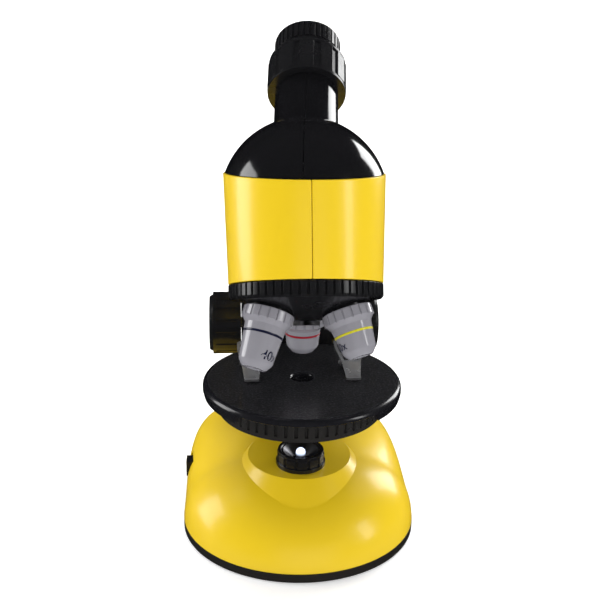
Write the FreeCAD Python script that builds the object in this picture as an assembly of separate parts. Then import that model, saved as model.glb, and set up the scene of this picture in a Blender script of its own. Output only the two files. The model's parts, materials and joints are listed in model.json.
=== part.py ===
"""Kids' compound microscope with a tilting-axis objective turret, a lit base and a zoom eyepiece.

Units are millimetres. +Z is up, +Y is the user's side, and the origin lies on the table straight
under the hole in the stage. Each function builds one piece, and each piece is written to its own
STEP file.
"""
import FreeCAD, Part
import math
import os

V = FreeCAD.Vector
UP = V(0, 0, 1)
RIGHT = V(1, 0, 0)
BACK = V(0, 1, 0)

# ---------------------------------------------------------------- driving dimensions
WALL = 2.2
RUNNING = 0.05            # radial clearance of a shaft in its bore
GAP = 0.3                 # gap between faces that move past each other

# base: a low dome, rounded in front and squarer behind
BASE_HALF_WIDTH = 49.6
BASE_FRONT = -38.0
BASE_WIDEST = 8.0
BASE_BACK = 84.0
FOOT_HEIGHT = 0.4
FOOT_R = 5.0
FEET = ((-33, 2), (33, 2), (-26, 74), (26, 74))
BASE_SCREWS = ((-34, -12), (34, -12), (-34, 66), (34, 66))
ARM_SCREWS = ((-14, 66), (14, 66))
COVER_SCREW = (0, 38.6)
SCREW_CLEARANCE_R = 1.7
SCREW_SINK_R = 3.3
PLATE_BOTTOM = FOOT_HEIGHT
PLATE_TOP = 4.0
DOME_TOP = 31.5
DOME_LEVELS = (4.0, 8.0, 12.0, 16.0, 20.0, 23.5, 26.5, 28.8, 30.4, 31.2)
PLATFORM_Z = 32.0
PLATFORM_Y = 8.0
PLATFORM_R = 21.9
PLATFORM_FOOT_Z = 22.0
PLATFORM_FLARE = 1.0      # growth in radius for each millimetre down

# lamp on the platform
COLLAR_R = 10.3
COLLAR_TOP = 38.4
COLLAR_FLUTES = 12
COLLAR_NECK_R = 6.8
LED_R = 2.0
LED_TOP = 38.7

# batteries: three AA cells side by side
CELL_R = 7.1
CELL_LENGTH = 50.0
CELL_PITCH = 15.2
CELL_MIDDLE_Y = 12.0
CELL_Z = 12.6

# stage
STAGE_TOP = 70.8
STAGE_R = 40.0
STAGE_TOP_R = 39.3
STAGE_WEB = 2.6
STAGE_HEIGHT = 5.6
SKIRT_WALL = 2.4
CUT_OUT_HALF_ANGLE = 43.0
CARRIER_HALF = 8.6
CARRIER_Z = 62.6
RACK_FACE = 48.8
LIGHT_HOLE_R = 4.3

# filter wheel under the stage
WHEEL_Y = 8.0
WHEEL_R = 34.3
WHEEL_BOTTOM = 55.0
WHEEL_TOP = 61.8
WHEEL_LIP = 1.8
WHEEL_TEETH = 54
APERTURES = 6
APERTURE_R = 3.0
PIVOT_R = 2.5

# specimen clips
CLIP_X = 20.4
CLIP_HINGE_Y = 9.0
CLIP_HINGE_Z = STAGE_TOP + 2.6
CLIP_SHEET = 0.6
CLIP_PIN_R = 0.75
# side line of the clip's sheet: distance back and height above the stage
CLIP_LINE = ((-6.4, 2.0), (-5.2, 0.6), (-3.4, 1.1), (3.0, 4.6), (8.0, 5.6), (18.0, 7.0), (21.6, 6.8),
             (23.0, 5.6))

# focus drive
FOCUS_Y = 58.0
FOCUS_Z = 73.5
SHAFT_R = 2.5
PINION_TEETH = 12
MODULE = 0.8
KNOB_R = 14.4
KNOB_INNER = 24.2
KNOB_OUTER = 38.6
HUB_R = 13.2              # round shoulder on the arm beside each knob

# arm
ARM_HALF = 23.6
ARM_SPLIT_Y = 61.5
ARM_CORNER = 9.0
# height, front, back and extra half width of each horizontal section
ARM_SECTIONS = ((4.0, 46.0, 80.0, 0.0), (34.0, 45.6, 79.5, 0.0), (62.0, 45.0, 78.0, 0.0),
                (84.0, 42.0, 75.5, 0.0), (98.0, 26.0, 72.0, 0.5), (110.0, 8.0, 67.5, 1.5),
                (124.0, 4.0, 60.5, 2.5), (137.0, 4.0, 51.0, 3.0), (148.0, 6.0, 40.0, 3.0))
GUIDE_HALF = 9.0

# head: its axis leans back, and the sleeve and turret are measured down from its apex
HEAD_LEAN = 21.1
APEX = V(0, 0, 140.2)
SLEEVE_BOTTOM = 28.7      # distance below the apex, along the leaning axis
SLEEVE_BOTTOM_R = 29.2
SLEEVE_TOP_R = 31.25
SLEEVE_REACH = 24.0       # distance above the apex where the sleeve cone is trimmed
SLEEVE_WALL = 2.0
RIM_LEAN = 5.6            # lean of the sleeve's top rim

# turret
TURRET_TOP = 28.95
TURRET_BOTTOM = 34.73
TURRET_R = 29.2
TURRET_RIBS = 60
TURRET_WALL = 2.6
NOSE_R = 6.5              # flat nose of the turret's cone
NOSE_SLOPE = 0.386
FACET_DEPTH = 1.25        # flats between the bosses
SPINDLE_R = 3.0

# objectives: their axes meet above the apex and spread from the turret's axis
OBJECTIVE_RISE = 9.5
OBJECTIVE_SPREAD = 18.6
SEAT = 51.2               # objective seat, measured down its own axis
COLLAR_LENGTH = 4.4
GRIP_R = 9.5
GRIP_ROOT_R = 9.0
GRIP_RIBS = 18
BOSS_R = 7.7
NOZZLE_R = 6.3
# name, turn round the turret, distance to the tip and to the colour band, radius of the barrel
OBJECTIVES = (("low", 0.0, 66.9, 58.9, 7.2), ("high", -120.0, 73.1, 59.9, 7.7),
              ("mid", 120.0, 69.2, 59.9, 7.7))

# eyepiece head: a ball that swivels on the sleeve, with an inclined tube
BALL_CENTRE = V(0, 3.9, 141.7)
BALL_R = 32.25
RIM_HEIGHT = 11.2         # sleeve rim above the ball's centre, along the swivel axis
TUBE_LEAN = 47.5
HEAD_TURN = -5.5          # the eyepiece head stands turned a little on its sleeve
TUBE_R = 13.05
TUBE_BORE = 11.2
TUBE_END = 54.0
SPIGOT_R = 12.2
SPIGOT_END = 66.5
ZOOM_R = 16.5
ZOOM_START = 54.3
ZOOM_END = 70.4
CUP_R = 14.05
CUP_START = 70.8
CUP_END = 82.5
CUP_RIBS = 36
NECK_R = 25.0

# switch on the left flank
SWITCH_Y = 30.0
SWITCH_Z = 14.7


def lean(angle):
    """Direction that leans back from vertical by an angle in degrees."""
    return V(0, math.sin(math.radians(angle)), math.cos(math.radians(angle)))


HEAD_UP = lean(HEAD_LEAN)
HEAD_DOWN = HEAD_UP * -1
HEAD_BACK = V(0, HEAD_UP.z, -HEAD_UP.y)
SWIVEL_UP = lean(RIM_LEAN)
TUBE_UP = lean(TUBE_LEAN)
OBJECTIVE_APEX = APEX + HEAD_UP * OBJECTIVE_RISE


# ---------------------------------------------------------------- shape helpers
def cylinder(radius, start, end, base=V(0, 0, 0), axis=UP):
    """Cylinder between two distances along an axis through base."""
    return Part.makeCylinder(radius, end - start, base + axis * start, axis)


def ring(outer, inner, start, end, base=V(0, 0, 0), axis=UP):
    body = cylinder(outer, start, end, base, axis)
    return body.cut(cylinder(inner, start - 1, end + 1, base, axis))


def block(low, high):
    size = V(*high) - V(*low)
    return Part.makeBox(size.x, size.y, size.z, V(*low))


def aim(shape, base, axis):
    """Carry a shape built about +Z at the origin to an axis through base."""
    shape = shape.copy()
    shape.Placement = FreeCAD.Placement(base, FreeCAD.Rotation(UP, axis))
    return shape


def turned(profile, base=V(0, 0, 0), axis=UP):
    """Solid of revolution of closed (radius, height) points about +Z, carried to an axis."""
    points = [V(r, 0, z) for r, z in profile]
    face = Part.Face(Part.makePolygon(points + points[:1]))
    return aim(face.revolve(V(0, 0, 0), UP, 360), base, axis)


def fluted(tip, root, count, start, end, land, base=V(0, 0, 0), axis=UP):
    """Prism with straight-sided ribs; land is the share of the pitch that a rib takes."""
    pitch = 2 * math.pi / count
    points = []
    for index in range(count):
        middle = index * pitch
        for radius, side in ((root, -0.62), (tip, -0.5), (tip, 0.5), (root, 0.62)):
            angle = middle + side * land * pitch
            points.append(V(radius * math.cos(angle), radius * math.sin(angle), start))
    face = Part.Face(Part.makePolygon(points + points[:1]))
    return aim(face.extrude(V(0, 0, end - start)), base, axis)


def fuse_all(shapes):
    result = shapes[0]
    for shape in shapes[1:]:
        result = result.fuse(shape)
    return result.removeSplitter()


def cut_all(shape, tools):
    for tool in tools:
        shape = shape.cut(tool)
    return shape


def head_point(below, back=0.0, side=0.0):
    """Point in the head's leaning frame: below the apex, towards the user, and to the side."""
    return APEX + HEAD_DOWN * below + HEAD_BACK * back + RIGHT * side


def prism_yz(points, half_width):
    """Side profile in the YZ plane, extruded both ways along X."""
    corners = [V(-half_width, y, z) for y, z in points]
    face = Part.Face(Part.makePolygon(corners + corners[:1]))
    return face.extrude(V(2 * half_width, 0, 0))


# ---------------------------------------------------------------- base
def base_outline(z, inset=0.0, points=40):
    """Level curve of the base dome, as one closed spline."""
    corners = []
    for index in range(points):
        angle = 2 * math.pi * index / points
        sine = math.sin(angle)
        half = BASE_HALF_WIDTH - inset
        reach = (BASE_BACK - BASE_WIDEST if sine > 0 else BASE_WIDEST - BASE_FRONT) - inset
        power, roundness = base_shape(sine)
        across, along = abs(math.cos(angle) / half), abs(sine / reach)
        radius = (across ** power + along ** power) ** (-1 / power)
        height = min(1.0, z / (DOME_TOP - inset))
        radius *= (1 - height ** roundness) ** (1 / roundness)
        corners.append(V(radius * math.cos(angle), BASE_WIDEST + radius * sine, z))
    curve = Part.BSplineCurve()
    curve.interpolate(Points=corners, PeriodicFlag=True)
    return Part.Wire(curve.toShape())


def base_shape(sine):
    """Squareness of the outline and fullness of the side, which grow from the front to the back."""
    if sine < 0:
        return 2.0, 2.6 - 0.6 * sine * sine
    blend = min(1.0, sine / 0.4)
    return 2.0 + 2.0 * blend * blend * (3 - 2 * blend), 2.6 + 2.6 * sine * sine / (0.35 + sine)


def dome(inset=0.0):
    levels = [z if index == 0 else z - inset for index, z in enumerate(DOME_LEVELS)]
    return Part.makeLoft([base_outline(z, inset) for z in levels], True, False)


def platform():
    drop = PLATFORM_Z - PLATFORM_FOOT_Z
    foot = V(0, PLATFORM_Y, PLATFORM_FOOT_Z)
    return Part.makeCone(PLATFORM_R + PLATFORM_FLARE * drop, PLATFORM_R, drop, foot)


def base_shell(dome_outer, dome_inner, arm_outer):
    outer = dome_outer.fuse(platform())
    shell = outer.cut(dome_inner)
    bosses = [cylinder(3.6, PLATE_TOP, DOME_TOP, V(x, y, 0)) for x, y in BASE_SCREWS]
    shell = shell.fuse(fuse_all(bosses).common(dome(WALL / 2)))
    holes = [cylinder(1.2, PLATE_TOP - 1, 14, V(x, y, 0)) for x, y in BASE_SCREWS]
    lamp_hole = cylinder(COLLAR_NECK_R + 0.15, 20, 40)
    switch_slot = block((-60, SWITCH_Y - 3.4, SWITCH_Z - 4.0), (-40, SWITCH_Y + 6.4, SWITCH_Z + 4.0))
    return cut_all(shell, holes + [lamp_hole, switch_slot, arm_outer])


def base_plate():
    plate = Part.Face(base_outline(0.0)).extrude(V(0, 0, PLATE_TOP - PLATE_BOTTOM))
    plate.translate(V(0, 0, PLATE_BOTTOM))
    door = battery_door_block(0.25, -1)
    holes = [cylinder(SCREW_CLEARANCE_R, 0, 5, V(x, y, 0)) for x, y in BASE_SCREWS + ARM_SCREWS]
    sinks = [cylinder(SCREW_SINK_R, 0, 2.2, V(x, y, 0)) for x, y in BASE_SCREWS + ARM_SCREWS]
    pockets = [cylinder(FOOT_R + 0.1, 0, FOOT_HEIGHT + 0.8, V(x, y, 0)) for x, y in FEET]
    return cut_all(plate, [door] + holes + sinks + pockets)


def battery_door_block(grow, extra):
    front = CELL_MIDDLE_Y - 1.5 * CELL_PITCH - grow
    back = CELL_MIDDLE_Y + 1.5 * CELL_PITCH + grow
    half = CELL_LENGTH / 2 + 3 + grow
    low, high = PLATE_BOTTOM + extra, PLATE_TOP - extra
    tongue = block((-5.5 - grow, back - 1, low), (5.5 + grow, COVER_SCREW[1] + 5 + grow, high))
    return block((-half, front, low), (half, back, high)).fuse(tongue).removeSplitter()


def battery_cover():
    cover = battery_door_block(0.0, 0.0)
    first = CELL_MIDDLE_Y - 18
    grips = [block((-8, first + 2.4 * row, 0), (8, first + 1 + 2.4 * row, 0.9)) for row in range(4)]
    hole = cylinder(SCREW_CLEARANCE_R, 0, 5, V(*COVER_SCREW, 0))
    sink = cylinder(SCREW_SINK_R, 0, 2.2, V(*COVER_SCREW, 0))
    return cut_all(cover, grips + [hole, sink])


def screw(x, y, length):
    head = cylinder(3.0, 0.8, 2.2, V(x, y, 0))
    shank = cylinder(1.15, 2.2, 2.2 + length, V(x, y, 0))
    slot_a = block((x - 1.8, y - 0.35, 0.5), (x + 1.8, y + 0.35, 1.5))
    slot_b = block((x - 0.35, y - 1.8, 0.5), (x + 0.35, y + 1.8, 1.5))
    return head.fuse(shank).cut(slot_a).cut(slot_b)


def base_screws():
    screws = [screw(x, y, 9) for x, y in BASE_SCREWS] + [screw(x, y, 8) for x, y in ARM_SCREWS]
    return Part.makeCompound(screws + [screw(*COVER_SCREW, 6)])


def rubber_feet():
    return Part.makeCompound([cylinder(FOOT_R, 0, FOOT_HEIGHT + 0.8, V(x, y, 0)) for x, y in FEET])


def tray_block(grow):
    front = CELL_MIDDLE_Y - 1.5 * CELL_PITCH - 1.6 - grow
    back = CELL_MIDDLE_Y + 1.5 * CELL_PITCH + 1.6 + grow
    half = CELL_LENGTH / 2 + 4.5 + grow
    return block((-half, front, PLATE_TOP + 0.1), (half, back, CELL_Z + CELL_R + 0.6 + grow))


def cell_centres():
    return [CELL_MIDDLE_Y + CELL_PITCH * step for step in (-1, 0, 1)]


def battery_tray():
    tray = tray_block(0.0)
    channels = []
    for y in cell_centres():
        half = CELL_LENGTH / 2 + 2.9
        channels.append(cylinder(CELL_R + 0.3, -half, half, V(0, y, CELL_Z), RIGHT))
        channels.append(block((-half, y - CELL_R - 0.3, 0), (half, y + CELL_R + 0.3, CELL_Z)))
    lug = block((-4.5, CELL_MIDDLE_Y + 24, PLATE_TOP + 0.1), (4.5, COVER_SCREW[1] + 4.5, 11.0))
    hole = cylinder(1.2, PLATE_TOP - 1, 9.5, V(*COVER_SCREW, 0))
    return cut_all(tray, channels).fuse(lug).cut(hole)


def batteries():
    cells = []
    for index, y in enumerate(cell_centres()):
        way = 1 if index % 2 else -1
        base = V(0, y, CELL_Z)
        can = cylinder(CELL_R, -CELL_LENGTH / 2, CELL_LENGTH / 2 - 1.2, base, RIGHT * way)
        cap = cylinder(2.7, CELL_LENGTH / 2 - 1.2, CELL_LENGTH / 2, base, RIGHT * way)
        cells.append(can.fuse(cap))
    return Part.makeCompound(cells)


def battery_contacts():
    """A spring plate and a flat plate for each cell."""
    plates = []
    for index, y in enumerate(cell_centres()):
        way = 1 if index % 2 else -1
        outer = CELL_LENGTH / 2 + 2.8
        flat = block((-0.4, -5, -5), (0, 5, 5))
        flat.translate(V(outer if way > 0 else -outer + 0.4, y, CELL_Z))
        spring_plate = flat.copy()
        spring_plate.translate(V((-2 * outer + 0.4) * way, 0, 0))
        cone_start = V(-(outer - 0.4) * way, y, CELL_Z)
        spring = Part.makeCone(4.0, 2.4, outer - 0.4 - CELL_LENGTH / 2 - 0.05, cone_start, RIGHT * way)
        plates += [flat, spring_plate.fuse(spring)]
    return Part.makeCompound(plates)


def switch_housing():
    body = block((-40.6, SWITCH_Y - 8, SWITCH_Z - 5.0), (-34.0, SWITCH_Y + 11, SWITCH_Z + 5.0))
    return body.cut(block((-41, SWITCH_Y - 4.2, SWITCH_Z - 2.3), (-37, SWITCH_Y + 7.2, SWITCH_Z + 2.3)))


def switch_slider():
    cap = block((-49.4, SWITCH_Y - 3.0, SWITCH_Z - 3.7), (-43.4, SWITCH_Y + 3.0, SWITCH_Z + 3.7))
    ridges = [block((-50, SWITCH_Y + step - 0.3, SWITCH_Z - 4), (-49.0, SWITCH_Y + step + 0.3, SWITCH_Z + 4))
              for step in (-1.8, -0.6, 0.6, 1.8)]
    stem = block((-43.4, SWITCH_Y - 2.2, SWITCH_Z - 2.0), (-37.4, SWITCH_Y + 2.2, SWITCH_Z + 2.0))
    return cut_all(cap, ridges).fuse(stem)


# ---------------------------------------------------------------- lamp
def lamp_collar():
    flange = cylinder(COLLAR_R, PLATFORM_Z, PLATFORM_Z + 1.8)
    grip = fluted(9.9, 9.2, COLLAR_FLUTES, PLATFORM_Z + 1.8, COLLAR_TOP - 1.0, 0.72)
    rim = cylinder(9.55, COLLAR_TOP - 1.0, COLLAR_TOP)
    neck = cylinder(COLLAR_NECK_R, 27.6, PLATFORM_Z)
    funnel = Part.makeCone(3.6, 8.4, COLLAR_TOP - 33.4, V(0, 0, 33.4))
    bore = cylinder(LED_R + 0.3, 27, 34)
    return cut_all(fuse_all([flange, grip, rim, neck]), [funnel, bore])


def lamp_reflector():
    top = COLLAR_TOP - 0.4
    return turned([(2.9, 33.5), (3.6, 33.5), (8.0, top), (7.4, top), (3.3, 34.2), (2.9, 34.2)])


def led():
    return cylinder(LED_R, 27.5, LED_TOP - LED_R).fuse(Part.makeSphere(LED_R, V(0, 0, LED_TOP - LED_R)))


def led_board():
    return cylinder(6.4, 26.2, 27.4)


# ---------------------------------------------------------------- arm
def arm_section(z, front, back, widen, inset):
    """Horizontal rounded rectangle with arcs at its corners."""
    half = ARM_HALF + widen - inset
    radius = ARM_CORNER - inset
    low, high = front + inset, back - inset
    corners = ((half - radius, high - radius, 0), (-half + radius, high - radius, 90),
               (-half + radius, low + radius, 180), (half - radius, low + radius, 270))
    edges, first, last = [], None, None
    for x, y, turn in corners:
        arc = [V(x + radius * math.cos(math.radians(turn + step)),
                 y + radius * math.sin(math.radians(turn + step)), z) for step in (0, 45, 90)]
        if last is not None:
            edges.append(Part.makeLine(last, arc[0]))
        else:
            first = arc[0]
        edges.append(Part.Arc(*arc).toShape())
        last = arc[2]
    edges.append(Part.makeLine(last, first))
    return Part.Wire(edges)


def arm_solid(inset=0.0):
    sections = [arm_section(z, front, back, widen, inset) for z, front, back, widen in ARM_SECTIONS]
    return Part.makeLoft(sections, True, False)


def arm_envelope():
    """The arm's outside, trimmed where the sleeve, the turret and the ball stand."""
    turret_room = cylinder(TURRET_R + 1.6, SLEEVE_BOTTOM - 0.2, 60, APEX, HEAD_DOWN)
    outer = arm_solid().cut(sleeve_cone(0.0)).cut(turret_room)
    above_rim = cylinder(90, RIM_HEIGHT - 1.0, RIM_HEIGHT + 60, BALL_CENTRE, SWIVEL_UP)
    shaft = V(0, FOCUS_Y, FOCUS_Z)
    hubs = [cylinder(HUB_R, ARM_HALF - 6.0, KNOB_INNER - 0.25, shaft, RIGHT * side) for side in (-1, 1)]
    return outer.cut(above_rim).fuse(hubs[0]).fuse(hubs[1])


def arm_shell(envelope):
    cavity = arm_solid(WALL).common(block((-60, 0, 7.5), (60, 90, 200)))
    lid = cylinder(90, RIM_HEIGHT - 3.2, RIM_HEIGHT + 60, BALL_CENTRE, SWIVEL_UP)
    keep_floor = cylinder(TURRET_R + 1.6 + WALL, SLEEVE_BOTTOM - 2.2, 60, APEX, HEAD_DOWN)
    shell = envelope.cut(cavity.cut(lid).cut(keep_floor))
    shaft = V(0, FOCUS_Y, FOCUS_Z)
    bearings = [ring(6.0, SHAFT_R + RUNNING, ARM_HALF - 7.0, ARM_HALF - 1.0, shaft, RIGHT * side)
                for side in (-1, 1)]
    shell = shell.fuse(bearings[0]).fuse(bearings[1])
    shaft_hole = cylinder(SHAFT_R + RUNNING, -40, 40, shaft, RIGHT)
    slot = block((-GUIDE_HALF - 0.6, 40, 50.5), (GUIDE_HALF + 0.6, 52, 71.5))
    for x, y in ARM_SCREWS:
        shell = shell.fuse(cylinder(3.4, PLATE_TOP + 1, 14, V(x, y, 0)))
    screw_holes = [cylinder(1.2, 3, 13, V(x, y, 0)) for x, y in ARM_SCREWS]
    return cut_all(shell, [shaft_hole, slot] + screw_holes)


def arm_split():
    return prism_yz([(-60, -10), (ARM_SPLIT_Y, -10), (ARM_SPLIT_Y, 84), (50, 104), (38, 120), (30, 160),
                     (-60, 160)], 60)


def arm_front(shell):
    return shell.common(arm_split())


def arm_rear(shell):
    return shell.cut(arm_split())


def focus_guide():
    """Channel in the arm that keeps the stage carriage upright."""
    channel = block((-13, 48.3, 46), (13, 53.5, 94))
    return channel.cut(block((-GUIDE_HALF - 0.2, 40, 40), (GUIDE_HALF + 0.2, 60, 100)))


# ---------------------------------------------------------------- focus drive
def focus_pinion():
    """Pinion with slim straight-flanked teeth."""
    pitch_radius = PINION_TEETH * MODULE / 2
    root, tip = pitch_radius - 0.85, pitch_radius + 0.62
    points = []
    for index in range(PINION_TEETH):
        middle = 2 * math.pi * index / PINION_TEETH
        for radius, half in ((root, -0.62), (tip, -0.26), (tip, 0.26), (root, 0.62)):
            angle = middle + half / radius
            points.append(V(radius * math.cos(angle), radius * math.sin(angle), 0))
    face = Part.Face(Part.makePolygon(points + points[:1]))
    gear = face.extrude(V(0, 0, 9)).cut(cylinder(SHAFT_R, -1, 10))
    gear.Placement = FreeCAD.Placement(V(-4.5, FOCUS_Y, FOCUS_Z), FreeCAD.Rotation(UP, RIGHT))
    return gear


def focus_shaft():
    return cylinder(SHAFT_R, -KNOB_OUTER + 3, KNOB_OUTER - 3, V(0, FOCUS_Y, FOCUS_Z), RIGHT)


def focus_knob(side):
    """Broad drum with shallow grip grooves and a thin end cap."""
    base = V(0, FOCUS_Y, FOCUS_Z)
    axis = RIGHT * side
    drum = cylinder(KNOB_R, KNOB_INNER, KNOB_OUTER - 1.6, base, axis)
    cap = Part.makeCone(KNOB_R - 1.2, KNOB_R - 2.0, 1.6, base + axis * (KNOB_OUTER - 1.6), axis)
    knob = drum.fuse(cap)
    grooves = []
    for index in range(16):
        angle = 2 * math.pi * index / 16
        centre = base + V(0, math.cos(angle), math.sin(angle)) * (KNOB_R + 0.35)
        grooves.append(cylinder(0.8, KNOB_INNER + 2.0, KNOB_OUTER - 3.0, centre, axis))
    bore = cylinder(SHAFT_R, KNOB_INNER - 1, KNOB_OUTER - 3, base, axis)
    return cut_all(knob, grooves + [bore])


# ---------------------------------------------------------------- stage
def stage_plate():
    under, rim = STAGE_TOP - STAGE_WEB, STAGE_R - 0.1
    top = turned([(0, under), (rim, under), (rim, STAGE_TOP - 1.6), (STAGE_TOP_R - 0.1, STAGE_TOP - 0.5),
                  (STAGE_TOP_R - 1.3, STAGE_TOP), (0, STAGE_TOP)])
    skirt = ring(STAGE_R, STAGE_R - SKIRT_WALL, STAGE_TOP - STAGE_HEIGHT, STAGE_TOP - STAGE_WEB)
    reach = 80 * math.tan(math.radians(CUT_OUT_HALF_ANGLE))
    low, high = STAGE_TOP - STAGE_HEIGHT - 1, STAGE_TOP - STAGE_WEB
    wedge = Part.Face(Part.makePolygon([V(0, 0, low), V(-reach, -80, low), V(reach, -80, low), V(0, 0, low)]))
    skirt = skirt.cut(wedge.extrude(V(0, 0, high - low)))
    skirt = skirt.cut(block((-12.2, 20, low), (12.2, 50, high)))
    boss = cylinder(5.0, WHEEL_TOP + GAP, STAGE_TOP - STAGE_WEB, V(0, WHEEL_Y, 0))
    plate = fuse_all([top, skirt, boss] + [clip_pedestal(side) for side in (-1, 1)])
    light_hole = cylinder(LIGHT_HOLE_R, 50, 90)
    bevel = Part.makeCone(LIGHT_HOLE_R, LIGHT_HOLE_R + 0.5, 0.5, V(0, 0, STAGE_TOP - 0.5))
    thread = cylinder(1.2, WHEEL_TOP, STAGE_TOP - 1.0, V(0, WHEEL_Y, 0))
    pins = [clip_pin(side, 3.2) for side in (-1, 1)]
    return cut_all(plate, [light_hole, bevel, thread] + pins)


def clip_pedestal(side):
    x = side * CLIP_X
    stand = block((x - 3.0, CLIP_HINGE_Y - 1.8, STAGE_TOP - 0.5), (x + 3.0, CLIP_HINGE_Y + 1.8, CLIP_HINGE_Z))
    return stand.fuse(cylinder(1.8, -3.0, 3.0, V(x, CLIP_HINGE_Y, CLIP_HINGE_Z), RIGHT))


def stage_carrier():
    """Bracket under the stage that runs back to the rack in the arm."""
    tongue = block((-CARRIER_HALF, 18.0, CARRIER_Z), (CARRIER_HALF, RACK_FACE, STAGE_TOP - STAGE_WEB))
    return tongue.cut(block((-5.0, 22.0, CARRIER_Z - 1), (5.0, 44.0, CARRIER_Z + 2.8)))


def stage_rack():
    """Slide on the bracket's back end, with the rack that the focus pinion drives."""
    upright = block((-CARRIER_HALF, RACK_FACE, CARRIER_Z), (CARRIER_HALF, RACK_FACE + 2.6, 92.0))
    pitch = math.pi * MODULE
    pitch_line = FOCUS_Y - PINION_TEETH * MODULE / 2
    rack = block((-4.2, RACK_FACE + 2.6, CARRIER_Z), (4.2, pitch_line - 0.85, 92.0))
    teeth = []
    for index in range(-3, 8):
        z = FOCUS_Z + pitch * (index + 0.5)
        root, tip = pitch_line - 0.9, pitch_line + 0.55
        flank = ((root, -0.66), (tip, -0.24), (tip, 0.24), (root, 0.66))
        corners = [V(-4.2, y, z + rise) for y, rise in flank]
        face = Part.Face(Part.makePolygon(corners + corners[:1]))
        teeth.append(face.extrude(V(8.4, 0, 0)))
    return fuse_all([upright, rack] + teeth)


def wheel_screw():
    """Shoulder screw that the filter wheel turns on."""
    base = V(0, WHEEL_Y, 0)
    shoulder = cylinder(PIVOT_R, 57.4, WHEEL_TOP + GAP, base)
    head = cylinder(4.0, 55.6, 57.4, base)
    shank = cylinder(1.2, WHEEL_TOP + GAP, STAGE_TOP - 1.2, base)
    return fuse_all([shoulder, head, shank]).cut(block((-3, WHEEL_Y - 0.5, 55), (3, WHEEL_Y + 0.5, 56.4)))


def aperture_centre(index):
    angle = math.radians(-90 + 360.0 * index / APERTURES)
    return V(WHEEL_Y * math.cos(angle), WHEEL_Y + WHEEL_Y * math.sin(angle), 0)


def filter_wheel():
    base = V(0, WHEEL_Y, 0)
    rim = fluted(WHEEL_R, WHEEL_R - 1.0, WHEEL_TEETH, WHEEL_BOTTOM + WHEEL_LIP, WHEEL_TOP, 0.66, base)
    lip = cylinder(WHEEL_R, WHEEL_BOTTOM, WHEEL_BOTTOM + WHEEL_LIP, base)
    wheel = rim.fuse(lip)
    above = cylinder(WHEEL_R - 3.4, 60.2, WHEEL_TOP + 1, base)
    below = cylinder(WHEEL_R - 3.4, WHEEL_BOTTOM - 1, 58.2, base)
    hub = cylinder(4.4, 57.6, WHEEL_TOP, base)
    wheel = cut_all(wheel, [above, below]).fuse(hub)
    tools = [cylinder(PIVOT_R + RUNNING, 50, 70, base)]
    for index in range(APERTURES):
        small = 1.5 if index == APERTURES - 1 else APERTURE_R
        tools.append(cylinder(small, 50, 70, aperture_centre(index)))
        if 0 < index < APERTURES - 1:
            tools.append(cylinder(APERTURE_R + 0.4, 50, 59.2, aperture_centre(index)))
    return cut_all(wheel, tools)


def colour_filter(index):
    return cylinder(APERTURE_R + 0.4, 58.4, 59.2, aperture_centre(index))


# ---------------------------------------------------------------- specimen clips
def clip_sheet(x):
    """Bent strip, seen from the side, before its outline is trimmed."""
    upper = [V(x - 8, y, STAGE_TOP + z) for y, z in CLIP_LINE]
    edges = Part.makePolygon(upper)
    strip = edges.extrude(V(16, 0, 0))
    solid = strip.makeOffsetShape(CLIP_SHEET, 0.01, fill=True, join=2)
    return solid


def clip_outline(x):
    points = [(-2.7, -6.8), (2.7, -6.8), (2.8, -5), (3.9, 3), (5.7, 14), (5.7, 20), (3.6, 23.6), (-3.6, 23.6),
              (-5.7, 20), (-5.7, 14), (-3.9, 3), (-2.8, -5)]
    corners = [V(x + px, py, STAGE_TOP - 2) for px, py in points]
    face = Part.Face(Part.makePolygon(corners + corners[:1]))
    return face.extrude(V(0, 0, 14))


def clip_window(x):
    points = [(-2.9, 4.2), (2.9, 4.2), (4.5, 14), (4.5, 18.6), (-4.5, 18.6), (-4.5, 14)]
    corners = [V(x + px, py, STAGE_TOP - 2) for px, py in points]
    face = Part.Face(Part.makePolygon(corners + corners[:1]))
    return face.extrude(V(0, 0, 14))


def specimen_clip(side):
    """Sprung steel clip: a sloping nose, two rails and a finger loop, hinged on two ears."""
    x = side * CLIP_X
    sheet = clip_sheet(x).common(clip_outline(x)).cut(clip_window(x))
    ears = []
    for way in (-1, 1):
        inner = x + way * 3.4
        low, high = min(inner, inner + way * 0.6), max(inner, inner + way * 0.6)
        tab = block((low, CLIP_HINGE_Y - 1.5, CLIP_HINGE_Z), (high, CLIP_HINGE_Y + 1.5, STAGE_TOP + 6.0))
        round_end = cylinder(1.5, low, high, V(0, CLIP_HINGE_Y, CLIP_HINGE_Z), RIGHT)
        ears.append(tab.fuse(round_end))
    reach = cylinder(CLIP_PIN_R + RUNNING, -10, 10, V(x, CLIP_HINGE_Y, CLIP_HINGE_Z), RIGHT)
    return fuse_all([sheet] + ears).cut(reach)


def clip_pin(side, half):
    return cylinder(CLIP_PIN_R, -half, half, V(side * CLIP_X, CLIP_HINGE_Y, CLIP_HINGE_Z), RIGHT)


def clip_pins():
    return Part.makeCompound([clip_pin(side, 4.6) for side in (-1, 1)])


# ---------------------------------------------------------------- turret and objectives
def objective_axis(turn):
    """Direction down one objective; a turn of 0 is the one in use, over the hole in the stage."""
    around = math.radians(turn)
    spread = math.radians(OBJECTIVE_SPREAD)
    outward = HEAD_BACK * math.cos(around) + RIGHT * math.sin(around)
    return HEAD_DOWN * math.cos(spread) + outward * math.sin(spread)


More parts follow.
